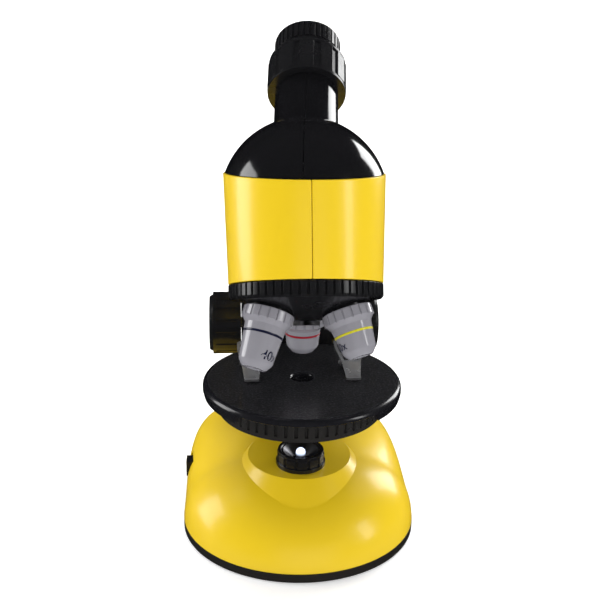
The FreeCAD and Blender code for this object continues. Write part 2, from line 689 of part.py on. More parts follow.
def turret_ring():
    lip_start = TURRET_BOTTOM - 0.8
    ribs = fluted(TURRET_R, TURRET_R - 0.8, TURRET_RIBS, TURRET_TOP, lip_start, 0.66, APEX, HEAD_DOWN)
    lip = cylinder(TURRET_R - 0.3, lip_start, TURRET_BOTTOM, APEX, HEAD_DOWN)
    inside = cylinder(TURRET_R - TURRET_WALL, TURRET_TOP - 1, TURRET_BOTTOM + 1, APEX, HEAD_DOWN)
    return ribs.fuse(lip).cut(inside)


def turret_nose():
    """Distance from the apex to the flat nose of the turret's cone."""
    return TURRET_BOTTOM + (TURRET_R - TURRET_WALL - NOSE_R) * NOSE_SLOPE


def turret_facet(turn):
    """Tool that planes a flat on the cone, parallel to its side, between two bosses."""
    around = math.radians(turn)
    outward = HEAD_BACK * math.cos(around) + RIGHT * math.sin(around)
    normal = outward * NOSE_SLOPE + HEAD_DOWN
    normal.normalize()
    start = APEX + HEAD_DOWN * TURRET_BOTTOM + outward * (TURRET_R - TURRET_WALL)
    return cylinder(60, -FACET_DEPTH * NOSE_SLOPE, 20, start, normal)


def turret_cone():
    """Carrier of the objectives: a shallow cone with three flats, a hub and three bosses."""
    rim_r = TURRET_R - TURRET_WALL
    nose = turret_nose()
    profile = [(0, TURRET_TOP), (rim_r, TURRET_TOP), (rim_r, TURRET_BOTTOM), (NOSE_R, nose), (0, nose)]
    body = turned(profile, APEX, HEAD_DOWN)
    hollow = turned([(NOSE_R, TURRET_TOP + 2), (rim_r - 2, TURRET_TOP + 2), (rim_r - 2, TURRET_BOTTOM - 1.2),
                     (NOSE_R, nose - 2.2)], APEX, HEAD_DOWN)
    body = cut_all(body, [turret_facet(turn) for turn in (60, 180, 300)] + [hollow])
    axes = [objective_axis(entry[1]) for entry in OBJECTIVES]
    for axis in axes:
        body = body.fuse(cylinder(BOSS_R, SEAT - 9.0, SEAT, OBJECTIVE_APEX, axis))
    bores = [cylinder(6.0, 20, 70, OBJECTIVE_APEX, axis) for axis in axes]
    spindle = cylinder(SPINDLE_R + RUNNING, 20, 60, APEX, HEAD_DOWN)
    trim = cylinder(60, 0, TURRET_TOP, APEX, HEAD_DOWN)
    return cut_all(body, bores + [spindle, trim]).removeSplitter()


def barrel_radius(along, tip, barrel):
    """Radius of an objective's tapering barrel at a distance down its axis."""
    start = SEAT + COLLAR_LENGTH + 1.6
    end = tip - 2.2
    return barrel - (barrel - NOZZLE_R) * (along - start) / (end - start)


def objective_body(turn, tip, band, barrel):
    """Barrel with a ribbed collar, a tapering body, a groove for its colour band and a cut tip."""
    axis = objective_axis(turn)
    collar_end = SEAT + COLLAR_LENGTH
    grip = fluted(GRIP_R, GRIP_ROOT_R, GRIP_RIBS, SEAT + 0.1, collar_end, 0.8, OBJECTIVE_APEX, axis)
    groove_start, groove_end = barrel_radius(band, tip, barrel), barrel_radius(band + 0.9, tip, barrel)
    profile = [(0, SEAT - 6.0), (5.9, SEAT - 6.0), (5.9, SEAT + 0.1), (GRIP_ROOT_R, SEAT + 0.1),
               (GRIP_ROOT_R, collar_end), (barrel, collar_end + 1.6), (groove_start, band),
               (groove_start - 0.5, band), (groove_start - 0.5, band + 0.9), (groove_end, band + 0.9),
               (NOZZLE_R, tip - 2.2), (4.7, tip - 0.4), (4.3, tip), (0, tip)]
    body = turned(profile, OBJECTIVE_APEX, axis).fuse(grip)
    bore = turned([(0, SEAT - 7), (4.6, SEAT - 7), (4.6, tip - 8), (2.2, tip - 3), (2.2, tip - 1.6),
                   (2.8, tip + 1), (0, tip + 1)], OBJECTIVE_APEX, axis)
    return body.cut(bore)


def objective_band(turn, tip, band, barrel):
    start, end = barrel_radius(band, tip, barrel), barrel_radius(band + 0.9, tip, barrel)
    profile = [(start - 0.5, band), (start + 0.03, band), (end + 0.03, band + 0.9), (start - 0.5, band + 0.9)]
    return turned(profile, OBJECTIVE_APEX, objective_axis(turn))


def objective_lens(turn, tip):
    return cylinder(2.2, tip - 2.9, tip - 1.7, OBJECTIVE_APEX, objective_axis(turn))


def turret_screw():
    """Fixed spindle that the turret turns on, with its head under the turret's nose."""
    nose = turret_nose()
    shank = cylinder(SPINDLE_R, 27.0, nose + 0.2, APEX, HEAD_DOWN)
    head = cylinder(5.0, nose + 0.2, nose + 1.8, APEX, HEAD_DOWN)
    slot = Part.makeBox(12, 1.0, 0.8, V(-6, -0.5, nose + 1.0))
    return shank.fuse(head).cut(aim(slot, APEX, HEAD_DOWN))


# ---------------------------------------------------------------- head
def sleeve_cone(inset):
    """The sleeve's outside, or its inside when inset, before the rim is trimmed."""
    length = SLEEVE_BOTTOM + SLEEVE_REACH
    foot = head_point(SLEEVE_BOTTOM)
    return Part.makeCone(SLEEVE_BOTTOM_R - inset, SLEEVE_TOP_R - inset, length, foot, HEAD_UP)


def sleeve_shell():
    above_rim = cylinder(90, RIM_HEIGHT, RIM_HEIGHT + 60, BALL_CENTRE, SWIVEL_UP)
    shell = sleeve_cone(0.0).cut(sleeve_cone(SLEEVE_WALL)).cut(above_rim)
    tab_slot = Part.makeBox(17.0, 20.0, 4.2, V(-8.5, 18.0, 21.2))
    return shell.cut(in_head(tab_slot))


def in_head(shape):
    """Carry a shape from (side, back, below) axes into the head's leaning frame."""
    matrix = FreeCAD.Matrix(-1, 0, 0, APEX.x, 0, HEAD_BACK.y, HEAD_DOWN.y, APEX.y,
                            0, HEAD_BACK.z, HEAD_DOWN.z, APEX.z, 0, 0, 0, 1)
    return shape.transformGeometry(matrix)


def sleeve_half(side):
    keep = block((0, -90, 60), (90, 90, 220)) if side > 0 else block((-90, -90, 60), (0, 90, 220))
    return sleeve_shell().common(keep)


def head_chassis():
    """Plate inside the sleeve that carries the turret spindle, with a tab back into the arm."""
    disc = cylinder(SLEEVE_BOTTOM_R - SLEEVE_WALL - 0.4, 25.4, 28.2, APEX, HEAD_DOWN)
    tab = in_head(Part.makeBox(16.4, 26.0, 3.6, V(-8.2, 14.0, 21.6)))
    rise = in_head(Part.makeBox(16.4, 7.0, 4.0, V(-8.2, 14.0, 21.6)))
    hub = cylinder(7.0, 20.0, 28.2, APEX, HEAD_DOWN)
    light = cylinder(6.2, 15, 40, APEX, UP * -1)
    spindle = cylinder(SPINDLE_R, 10, 40, APEX, HEAD_DOWN)
    detent = cylinder(1.3, 20, 40, head_point(0, 19.0), HEAD_DOWN)
    return cut_all(fuse_all([disc, tab, rise, hub]), [light, spindle, detent])


def turret_detent():
    """Sprung ball that clicks each objective into place."""
    base = head_point(0, 19.0)
    return cylinder(1.25, 24.4, 27.4, base, HEAD_DOWN).fuse(Part.makeSphere(1.2, base + HEAD_DOWN * 27.5))


def swivel_ring():
    """Bearing ring fixed inside the sleeve, which the ball's neck turns in."""
    slab = cylinder(60, RIM_HEIGHT - 6.2, RIM_HEIGHT - 3.2, BALL_CENTRE, SWIVEL_UP)
    body = sleeve_cone(SLEEVE_WALL + 0.02).common(slab)
    return body.cut(cylinder(NECK_R + RUNNING, 0, 40, BALL_CENTRE, SWIVEL_UP))


# ---------------------------------------------------------------- eyepiece head
def ball_solid():
    """Ball and inclined tube, hollow, open at the bottom for the neck."""
    outer = Part.makeSphere(BALL_R, BALL_CENTRE).fuse(cylinder(TUBE_R, 0, TUBE_END, BALL_CENTRE, TUBE_UP))
    fillet = Part.makeCone(TUBE_R + 3.2, TUBE_R, 6.0, BALL_CENTRE + TUBE_UP * (BALL_R - 4.2), TUBE_UP)
    outer = outer.fuse(fillet).fuse(cylinder(SPIGOT_R, TUBE_END - 1, SPIGOT_END, BALL_CENTRE, TUBE_UP))
    inner = Part.makeSphere(BALL_R - WALL, BALL_CENTRE)
    bore = cylinder(TUBE_BORE, 0, SPIGOT_END + 1, BALL_CENTRE, TUBE_UP)
    below = cylinder(90, -60, RIM_HEIGHT + 0.25, BALL_CENTRE, SWIVEL_UP)
    shell = cut_all(outer, [inner, bore, below])
    flange = ring(28.6, NECK_R - 2.0, RIM_HEIGHT + 0.25, RIM_HEIGHT + 2.2, BALL_CENTRE, SWIVEL_UP)
    neck = ring(NECK_R, NECK_R - 2.0, RIM_HEIGHT - 6.6, RIM_HEIGHT + 0.25, BALL_CENTRE, SWIVEL_UP)
    return shell.fuse(flange).fuse(neck).removeSplitter()


def ball_half(side):
    keep = block((0, -90, 60), (90, 90, 260)) if side > 0 else block((-90, -90, 60), (0, 90, 260))
    return ball_solid().common(keep)


def swivel_retainer():
    """Ring on the neck's lower end that keeps the eyepiece head in the sleeve."""
    return ring(26.2, 22.0, RIM_HEIGHT - 8.2, RIM_HEIGHT - 6.65, BALL_CENTRE, SWIVEL_UP)


def mirror_frame(width, height, depth, start):
    """Plate square to the mirror's normal, centred on the ball."""
    normal = TUBE_UP - UP
    normal.normalize()
    plate = Part.makeBox(width, height, depth, V(-width / 2, -height / 2, start))
    plate.Placement = FreeCAD.Placement(BALL_CENTRE + BACK * -2.0, FreeCAD.Rotation(UP, normal))
    return plate


def mirror():
    return mirror_frame(22, 26, 1.6, -1.6)


def mirror_holder():
    """Plate behind the mirror, held by two bars across the neck."""
    plate = mirror_frame(25, 29, 2.0, -3.65)
    low = BALL_CENTRE + V(0, -3.0, 6.2)
    bars = [block((start, low.y, low.z), (start + 13, low.y + 5, low.z + 2.4)) for start in (-24, 11)]
    inside_neck = cylinder(NECK_R - 2.0, 0, 30, BALL_CENTRE, SWIVEL_UP)
    holder = fuse_all([plate] + [bar.common(inside_neck) for bar in bars])
    return holder.cut(mirror_frame(60, 60, 30, -1.62))


def zoom_ring():
    """Grip ring with twelve broad lands, turned to slide the eyecup out."""
    body = fluted(ZOOM_R, ZOOM_R - 0.9, 12, ZOOM_START + 1.4, ZOOM_END - 1.4, 0.62, BALL_CENTRE, TUBE_UP)
    ends = [cylinder(ZOOM_R - 0.3, start, start + 1.4, BALL_CENTRE, TUBE_UP)
            for start in (ZOOM_START, ZOOM_END - 1.4)]
    bore = cylinder(SPIGOT_R + RUNNING, ZOOM_START - 1, ZOOM_END - 2.6, BALL_CENTRE, TUBE_UP)
    mouth = cylinder(TUBE_BORE, ZOOM_START, ZOOM_END + 1, BALL_CENTRE, TUBE_UP)
    return cut_all(fuse_all([body] + ends), [bore, mouth])


def eyepiece_barrel():
    return ring(TUBE_BORE - 0.3, 9.6, 44.0, 74.4, BALL_CENTRE, TUBE_UP)


def eyecup():
    """Rubber cup: ribbed grip, smooth band and a funnel for the eye."""
    grip = fluted(CUP_R, CUP_R - 0.6, CUP_RIBS, CUP_END - 8.2, CUP_END - 0.8, 0.62, BALL_CENTRE, TUBE_UP)
    band = cylinder(CUP_R - 0.4, CUP_START, CUP_END - 8.2, BALL_CENTRE, TUBE_UP)
    rim = cylinder(CUP_R - 0.3, CUP_END - 0.8, CUP_END, BALL_CENTRE, TUBE_UP)
    seat = cylinder(TUBE_BORE - 0.3, CUP_START - 1, 74.5, BALL_CENTRE, TUBE_UP)
    throat = cylinder(8.6, 70, CUP_END + 1, BALL_CENTRE, TUBE_UP)
    funnel = Part.makeCone(8.6, 12.2, 4.6, BALL_CENTRE + TUBE_UP * (CUP_END - 4.4), TUBE_UP)
    lens_seat = cylinder(9.3, 74.0, 77.6, BALL_CENTRE, TUBE_UP)
    return cut_all(fuse_all([grip, band, rim]), [seat, throat, funnel, lens_seat])


def lens(start, thickness, radius):
    """Plano-convex lens, its curved face towards the eye."""
    crown = 1.4
    ball = (radius ** 2 + crown ** 2) / (2 * crown)
    top = start + thickness + crown
    cap = Part.makeSphere(ball, BALL_CENTRE + TUBE_UP * (top - ball))
    return cylinder(radius, start, top + 1, BALL_CENTRE, TUBE_UP).common(cap)


# ---------------------------------------------------------------- writing the pieces
SWIVELLING = ("ball_left", "ball_right", "mirror", "mirror_holder", "swivel_retainer", "zoom_ring",
              "eyepiece_barrel", "eyecup", "eye_lens", "field_lens")


def build():
    dome_outer = dome()
    dome_inner = dome(WALL)
    arm_outer = arm_envelope()
    arm = arm_shell(arm_outer)
    pieces = {
        "base_shell": base_shell(dome_outer, dome_inner, arm_outer),
        "base_plate": base_plate(),
        "battery_cover": battery_cover(),
        "base_screws": base_screws(),
        "rubber_feet": rubber_feet(),
        "battery_tray": battery_tray(),
        "batteries": batteries(),
        "battery_contacts": battery_contacts(),
        "switch_housing": switch_housing(),
        "switch_slider": switch_slider(),
        "lamp_collar": lamp_collar(),
        "lamp_reflector": lamp_reflector(),
        "lamp_led": led(),
        "lamp_board": led_board(),
        "arm_front_cover": arm_front(arm),
        "arm_rear_shell": arm_rear(arm),
        "focus_guide": focus_guide(),
        "focus_shaft": focus_shaft(),
        "focus_pinion": focus_pinion(),
        "focus_knob_left": focus_knob(-1),
        "focus_knob_right": focus_knob(1),
        "stage_plate": stage_plate(),
        "stage_carrier": stage_carrier(),
        "stage_rack": stage_rack(),
        "wheel_screw": wheel_screw(),
        "filter_wheel": filter_wheel(),
        "clip_left": specimen_clip(-1),
        "clip_right": specimen_clip(1),
        "clip_pins": clip_pins(),
        "turret_ring": turret_ring(),
        "turret_cone": turret_cone(),
        "turret_screw": turret_screw(),
        "turret_detent": turret_detent(),
        "head_chassis": head_chassis(),
        "sleeve_left": sleeve_half(-1),
        "sleeve_right": sleeve_half(1),
        "swivel_ring": swivel_ring(),
        "swivel_retainer": swivel_retainer(),
        "ball_left": ball_half(-1),
        "ball_right": ball_half(1),
        "mirror": mirror(),
        "mirror_holder": mirror_holder(),
        "zoom_ring": zoom_ring(),
        "eyepiece_barrel": eyepiece_barrel(),
        "eyecup": eyecup(),
        "eye_lens": lens(74.5, 1.4, 9.25),
        "field_lens": lens(46.0, 1.2, 9.55),
    }
    for index, colour in enumerate(("red", "green", "blue", "yellow"), start=1):
        pieces["filter_" + colour] = colour_filter(index)
    for node in SWIVELLING:
        pieces[node].rotate(BALL_CENTRE, SWIVEL_UP, HEAD_TURN)
    for name, turn, tip, band, barrel in OBJECTIVES:
        pieces["objective_" + name] = objective_body(turn, tip, band, barrel)
        pieces["band_" + name] = objective_band(turn, tip, band, barrel)
        pieces["lens_" + name] = objective_lens(turn, tip)
    return pieces


os.makedirs("parts", exist_ok=True)
for node, shape in build().items():
    shape.exportStep("parts/" + node + ".step")
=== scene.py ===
"""Looks of the kids' microscope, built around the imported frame.

The sizes below are in millimetres; the meshes are scaled to metres. x points to the right, y to the back
and z up.
"""
import json
import math
import bpy
import bmesh
from mathutils import Matrix, Vector


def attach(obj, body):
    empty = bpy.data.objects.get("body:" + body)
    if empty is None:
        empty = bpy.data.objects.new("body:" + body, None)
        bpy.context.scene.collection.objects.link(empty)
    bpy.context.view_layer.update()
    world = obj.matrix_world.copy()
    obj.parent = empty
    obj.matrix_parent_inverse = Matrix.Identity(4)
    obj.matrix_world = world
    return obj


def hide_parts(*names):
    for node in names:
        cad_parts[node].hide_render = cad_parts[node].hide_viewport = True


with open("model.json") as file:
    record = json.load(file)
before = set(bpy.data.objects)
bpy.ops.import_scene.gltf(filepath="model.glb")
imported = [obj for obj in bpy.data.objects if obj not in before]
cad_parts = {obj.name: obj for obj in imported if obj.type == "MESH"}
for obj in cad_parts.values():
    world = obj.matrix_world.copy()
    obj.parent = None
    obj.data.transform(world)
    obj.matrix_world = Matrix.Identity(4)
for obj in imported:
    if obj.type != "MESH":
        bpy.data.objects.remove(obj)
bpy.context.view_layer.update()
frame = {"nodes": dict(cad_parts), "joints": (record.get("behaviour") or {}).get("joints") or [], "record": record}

MM = 0.001
UP = Vector((0, 0, 1))
RIGHT = Vector((1, 0, 0))
JOINTS = {joint["name"]: joint for joint in frame["joints"]}


def axis_of(name):
    """Unit direction of a joint."""
    return Vector(JOINTS[name]["axis"]).normalized()


def pivot_of(name):
    """Point that a joint turns about, in metres."""
    return Vector(JOINTS[name]["pos_m"])


# ---------------------------------------------------------------- driving sizes, in millimetres
BASE_HALF_WIDTH = 49.6
BASE_FRONT = -38.0
BASE_WIDEST = 8.0
BASE_BACK = 84.0
BASE_WALL = 2.2
DOME_TOP = 31.5
PLATE_TOP = 4.0
PLATFORM_Z = 32.0
PLATFORM_Y = 8.0
PLATFORM_R = 21.9
PLATFORM_FLARE = 1.0
LAMP_HOLE_R = 6.95
LED_TOP = 38.7
SWITCH_SLOT_LOW = (-60, 26.6, 10.7)
SWITCH_SLOT_HIGH = (-40, 36.4, 18.7)
ARM_HALF = 23.6
ARM_FRONT = 46.0
ARM_BACK = 80.0
ARM_CORNER = 9.0
ARM_GAP = 0.15
STAGE_TOP = 70.8
STAGE_R = 40.0
STAGE_BOTTOM = 65.2
STAGE_UNDER = 68.2
STAGE_HOLE_R = 4.3
STAGE_ROUND = 2.2
SKIRT_WALL = 2.4
CUT_OUT = 43.0            # half angle of the skirt's opening at the front, in degrees
TONGUE_CUT = 18.7         # half angle of the one at the back
PIVOT_Y = 8.0
PIVOT_R = 1.2
BOSS_R = 5.0
BOSS_BOTTOM = 62.1
CLIP_X = 20.4
CLIP_Y = 9.0
CLIP_Z = 73.4
STAND_R = 1.8
STAND_HALF = 3.0
SLEEVE_BOTTOM = 28.7
SLEEVE_BOTTOM_R = 29.2
SLEEVE_TOP_R = 31.25
SLEEVE_REACH = 24.0
SLEEVE_WALL = 2.0
SLEEVE_SEAM = 0.16        # half of the gap at the seam, in degrees
SEAT = 51.2
OBJECTIVE_RISE = 9.5
OBJECTIVE_SPREAD = 18.6
COLLAR_LENGTH = 4.4
OBJECTIVE_BORE = 4.6
STEM_R = 5.85
STEM_LENGTH = 5.9
GRIP_R = 9.5
NOZZLE_R = 6.3
BAND_WIDTH = 0.9
BAND_DEPTH = 0.45
# name, turn in degrees, distance of the tip and of the band from the apex, barrel radius
OBJECTIVES = (("low", 0.0, 66.9, 58.9, 7.2), ("high", -120.0, 73.1, 59.9, 7.7),
              ("mid", 120.0, 69.2, 59.9, 7.7))
FIGURE_HALF = 0.04
FIGURE_BOLD = 0.05
FIGURE_LIFT = 0.03
# objective, text, distance from the apex, side it faces, height
FIGURES = (("high", "40x", 69.6, (0.55, -0.8, 0), 4.8), ("mid", "10x", 65.4, (-0.95, -0.35, 0), 4.0),
           ("low", "4x", 64.0, (1.0, 0.5, 0), 3.2))
RING_TOP = 28.95
RING_BOTTOM = 34.73
RING_R = 29.2
RING_BORE = 26.6
BALL_R = 32.25
BALL_WALL = 2.2
RIM_HEIGHT = 11.2
TUBE_R = 13.05
TUBE_END = 54.0
TUBE_BORE = 11.2
SPIGOT_R = 12.2
SPIGOT_END = 66.5
TUBE_FILLET = 3.0
BALL_SEAM = 0.2           # half of the gap at the seam, in degrees
NECK_R = 25.0
NECK_FLANGE_R = 28.4
NECK_WALL = 2.0
NECK_REACH = 6.6
HEAD_TURN = -5.5

APEX = pivot_of("turret_turn") / MM
HEAD_UP = axis_of("turret_turn")
HEAD_DOWN = -HEAD_UP
HEAD_BACK = Vector((0, HEAD_UP.z, -HEAD_UP.y))
BALL_CENTRE = pivot_of("head_swivel") / MM
SWIVEL_UP = axis_of("head_swivel")
TUBE_UP = axis_of("zoom_turn")


# ---------------------------------------------------------------- camera
SENSOR_WIDTH = 36.0
LENS = 51.0
CAMERA_DISTANCE = 316.3
CAMERA_HEIGHT = 209.4
CAMERA_YAW = math.radians(4.7)
CAMERA_PITCH = math.radians(18.49)
CAMERA_ROLL = math.radians(0.92)
AIM_OFFSET = math.radians(0.236)


def make_camera():
    """Camera in front of the object, looking down on it and a little from its left."""
    data = bpy.data.cameras.new("camera")
    data.sensor_width = SENSOR_WIDTH
    data.lens = LENS
    data.clip_start = 0.01
    data.clip_end = 20.0
    camera = bpy.data.objects.new("camera", data)
    bpy.context.scene.collection.objects.link(camera)
    aim = CAMERA_YAW - AIM_OFFSET
    right = Vector((math.cos(aim), -math.sin(aim), 0))
    level = Vector((math.sin(aim), math.cos(aim), 0))
    forward = level * math.cos(CAMERA_PITCH) - UP * math.sin(CAMERA_PITCH)
    upward = level * math.sin(CAMERA_PITCH) + UP * math.cos(CAMERA_PITCH)
    turned_right = right * math.cos(CAMERA_ROLL) + upward * math.sin(CAMERA_ROLL)
    turned_up = upward * math.cos(CAMERA_ROLL) - right * math.sin(CAMERA_ROLL)
    place = Vector((-math.sin(CAMERA_YAW) * CAMERA_DISTANCE, -math.cos(CAMERA_YAW) * CAMERA_DISTANCE,
                    CAMERA_HEIGHT)) * MM
    matrix = Matrix((turned_right, turned_up, -forward)).transposed().to_4x4()
    matrix.translation = place
    camera.matrix_world = matrix
    bpy.context.scene.camera = camera


make_camera()


# ---------------------------------------------------------------- materials
def new_material(name):
    """Material with its node tree and its shader."""
    material = bpy.data.materials.new(name)
    material.use_nodes = True
    tree = material.node_tree
    shader = tree.nodes["Principled BSDF"]
    return material, tree, shader


def link_noise(tree, scale, detail=3.0, roughness=0.5):
    """Noise fixed to the piece."""
    coords = tree.nodes.new("ShaderNodeTexCoord")
    noise = tree.nodes.new("ShaderNodeTexNoise")
    noise.inputs["Scale"].default_value = scale
    noise.inputs["Detail"].default_value = detail
    noise.inputs["Roughness"].default_value = roughness
    tree.links.new(coords.outputs["Object"], noise.inputs["Vector"])
    return noise


def link_ramp(tree, source, low, high, start=0.3, end=0.7):
    """Colour that runs from low to high as the source goes from start to end."""
    ramp = tree.nodes.new("ShaderNodeValToRGB")
    ramp.color_ramp.elements[0].position = start
    ramp.color_ramp.elements[1].position = end
    ramp.color_ramp.elements[0].color = (*low, 1)
    ramp.color_ramp.elements[1].color = (*high, 1)
    tree.links.new(source, ramp.inputs["Fac"])
    return ramp.outputs["Color"]


def link_range(tree, source, low, high):
    """Value that runs from low to high over the middle of the source."""
    spread = tree.nodes.new("ShaderNodeMapRange")
    spread.inputs["From Min"].default_value = 0.3
    spread.inputs["From Max"].default_value = 0.7
    spread.inputs["To Min"].default_value = low
    spread.inputs["To Max"].default_value = high
    tree.links.new(source, spread.inputs["Value"])
    return spread.outputs["Result"]


def link_bump(tree, shader, source, strength, distance):
    """Surface relief from a source of height."""
    bump = tree.nodes.new("ShaderNodeBump")
    bump.inputs["Strength"].default_value = strength
    bump.inputs["Distance"].default_value = distance
    tree.links.new(source, bump.inputs["Height"])
    tree.links.new(bump.outputs["Normal"], shader.inputs["Normal"])


def plastic(name, colour, shade, rough=(0.2, 0.3), grain=900.0, depth=0.00002, strength=0.15,
            coat=0.0, specular=0.5):
    """Moulded plastic: slow colour drift, fine flow marks in the gloss and a slight skin texture."""
    material, tree, shader = new_material(name)
    drift = link_noise(tree, 14.0)
    tree.links.new(link_ramp(tree, drift.outputs["Fac"], shade, colour), shader.inputs["Base Color"])
    smear = link_noise(tree, 120.0, 4.0)
    tree.links.new(link_range(tree, smear.outputs["Fac"], *rough), shader.inputs["Roughness"])
    skin = link_noise(tree, grain, 2.0)
    link_bump(tree, shader, skin.outputs["Fac"], strength, depth)
    shader.inputs["Specular IOR Level"].default_value = specular
    shader.inputs["Coat Weight"].default_value = coat
    shader.inputs["Coat Roughness"].default_value = 0.08
    return material


def metal(name, colour, rough=(0.15, 0.3), scale=300.0, share=1.0):
    """Metal whose colour and gloss vary together."""
    material, tree, shader = new_material(name)
    wear = link_noise(tree, scale, 4.0)
    low = tuple(part * 0.85 for part in colour)
    tree.links.new(link_ramp(tree, wear.outputs["Fac"], low, colour), shader.inputs["Base Color"])
    tree.links.new(link_range(tree, wear.outputs["Fac"], *rough), shader.inputs["Roughness"])
    shader.inputs["Metallic"].default_value = share
    return material


def glass(name, colour, rough=(0.0, 0.04)):
    """Clear or tinted glass with a little haze."""
    material, tree, shader = new_material(name)
    haze = link_noise(tree, 200.0)
    low = tuple(part * 0.96 for part in colour)
    tree.links.new(link_ramp(tree, haze.outputs["Fac"], low, colour), shader.inputs["Base Color"])
    tree.links.new(link_range(tree, haze.outputs["Fac"], *rough), shader.inputs["Roughness"])
    shader.inputs["Transmission Weight"].default_value = 1.0
    shader.inputs["IOR"].default_value = 1.5
    return material


MATERIALS = {
    "yellow_shell": plastic("yellow_shell", (0.81, 0.56, 0.014), (0.80, 0.55, 0.013), (0.28, 0.30),
                            strength=0.0, coat=0.15),
    "black_gloss": plastic("black_gloss", (0.008, 0.008, 0.009), (0.006, 0.006, 0.007), (0.10, 0.14),
                           strength=0.04, coat=0.3),
    "black_satin": plastic("black_satin", (0.010, 0.010, 0.011), (0.008, 0.008, 0.009), (0.22, 0.28),
                           strength=0.03, specular=0.4),
    "dark_plastic": plastic("dark_plastic", (0.018, 0.016, 0.014), (0.012, 0.011, 0.010), (0.4, 0.5),
                            strength=0.3),
    "inner_plastic": plastic("inner_plastic", (0.03, 0.03, 0.032), (0.022, 0.022, 0.024), (0.4, 0.55)),
    "rubber": plastic("rubber", (0.009, 0.009, 0.010), (0.007, 0.007, 0.008), (0.26, 0.36),
                      strength=0.1),
    "objective_grey": plastic("objective_grey", (0.27, 0.265, 0.295), (0.25, 0.245, 0.27), (0.14, 0.20),
                              strength=0.04, coat=0.4),
    "band_red": plastic("band_red", (0.33, 0.01, 0.025), (0.29, 0.008, 0.02), (0.25, 0.35)),
    "band_yellow": plastic("band_yellow", (0.62, 0.56, 0.02), (0.57, 0.52, 0.02), (0.25, 0.35)),
    "band_navy": plastic("band_navy", (0.008, 0.010, 0.035), (0.006, 0.008, 0.028), (0.25, 0.35)),
    "board": plastic("board", (0.02, 0.16, 0.05), (0.015, 0.12, 0.04), (0.3, 0.4)),
    "cell_jacket": plastic("cell_jacket", (0.07, 0.08, 0.09), (0.05, 0.06, 0.07), (0.25, 0.35)),
    "clip_chrome": metal("clip_chrome", (0.33, 0.33, 0.34), (0.24, 0.28), share=0.55),
    "steel": metal("steel", (0.55, 0.55, 0.55), (0.25, 0.4)),
    "brass": metal("brass", (0.72, 0.52, 0.2), (0.25, 0.4)),
    "reflector": metal("reflector", (0.14, 0.14, 0.15), (0.3, 0.4)),
    "mirror_face": metal("mirror_face", (0.9, 0.9, 0.9), (0.01, 0.03)),
    "lens_glass": glass("lens_glass", (0.85, 0.92, 0.95)),
    "filter_red": glass("filter_red", (0.8, 0.02, 0.02)),
    "filter_green": glass("filter_green", (0.02, 0.6, 0.06)),
    "filter_blue": glass("filter_blue", (0.02, 0.08, 0.8)),
    "filter_yellow": glass("filter_yellow", (0.9, 0.7, 0.02)),
}


def stage_material():
    """Black plastic, glossy at the rim and pebbled with a bright speckle on faces that look up."""
    material, tree, shader = new_material("stage_black")
    tone = link_noise(tree, 30.0)
    plain = link_ramp(tree, tone.outputs["Fac"], (0.008, 0.008, 0.010), (0.010, 0.010, 0.012))
    shape = tree.nodes.new("ShaderNodeNewGeometry")
    split = tree.nodes.new("ShaderNodeSeparateXYZ")
    tree.links.new(shape.outputs["Normal"], split.inputs["Vector"])
    level = tree.nodes.new("ShaderNodeMapRange")
    level.inputs["From Min"].default_value = 0.97
    level.inputs["From Max"].default_value = 0.995
    tree.links.new(split.outputs["Z"], level.inputs["Value"])
    grain = link_noise(tree, 1300.0, 1.0, 0.6)
    speckle = link_ramp(tree, grain.outputs["Fac"], (0.008, 0.008, 0.010), (0.075, 0.075, 0.080), 0.52, 0.72)
    blend = tree.nodes.new("ShaderNodeMix")
    blend.data_type = "RGBA"
    tree.links.new(level.outputs["Result"], blend.inputs["Factor"])
    tree.links.new(plain, blend.inputs["A"])
    tree.links.new(speckle, blend.inputs["B"])
    tree.links.new(blend.outputs["Result"], shader.inputs["Base Color"])
    pebble = link_noise(tree, 900.0, 2.0, 0.7)
    height = tree.nodes.new("ShaderNodeMath")
    height.operation = "MULTIPLY"
    tree.links.new(pebble.outputs["Fac"], height.inputs[0])
    tree.links.new(level.outputs["Result"], height.inputs[1])
    link_bump(tree, shader, height.outputs["Value"], 0.5, 0.0003)
    rough = tree.nodes.new("ShaderNodeMapRange")
    rough.inputs["To Min"].default_value = 0.22
    rough.inputs["To Max"].default_value = 0.34
    tree.links.new(level.outputs["Result"], rough.inputs["Value"])
    tree.links.new(rough.outputs["Result"], shader.inputs["Roughness"])
    shader.inputs["Coat Weight"].default_value = 0.2
    return material


def led_material():
    """Clear lens whose domed end glows."""
    material, tree, shader = new_material("led_lens")
    glow = link_noise(tree, 400.0)
    shape = tree.nodes.new("ShaderNodeNewGeometry")
    split = tree.nodes.new("ShaderNodeSeparateXYZ")
    tree.links.new(shape.outputs["Position"], split.inputs["Vector"])
    level = tree.nodes.new("ShaderNodeMapRange")
    level.inputs["From Min"].default_value = (LED_TOP - 3.0) * MM
    level.inputs["From Max"].default_value = (LED_TOP - 1.4) * MM
    tree.links.new(split.outputs["Z"], level.inputs["Value"])
    bright = (((0.8, 0.88, 1.0), (0.95, 0.98, 1.0), "Base Color"),
              ((0.55, 0.68, 1.0), (0.75, 0.84, 1.0), "Emission Color"))
    for low, high, socket in bright:
        blend = tree.nodes.new("ShaderNodeMix")
        blend.data_type = "RGBA"
        blend.inputs["A"].default_value = (0.012, 0.013, 0.018, 1)
        tree.links.new(level.outputs["Result"], blend.inputs["Factor"])
        tree.links.new(link_ramp(tree, glow.outputs["Fac"], low, high), blend.inputs["B"])
        tree.links.new(blend.outputs["Result"], shader.inputs[socket])
    shader.inputs["Emission Strength"].default_value = 1.6
    shader.inputs["Roughness"].default_value = 0.1
    return material


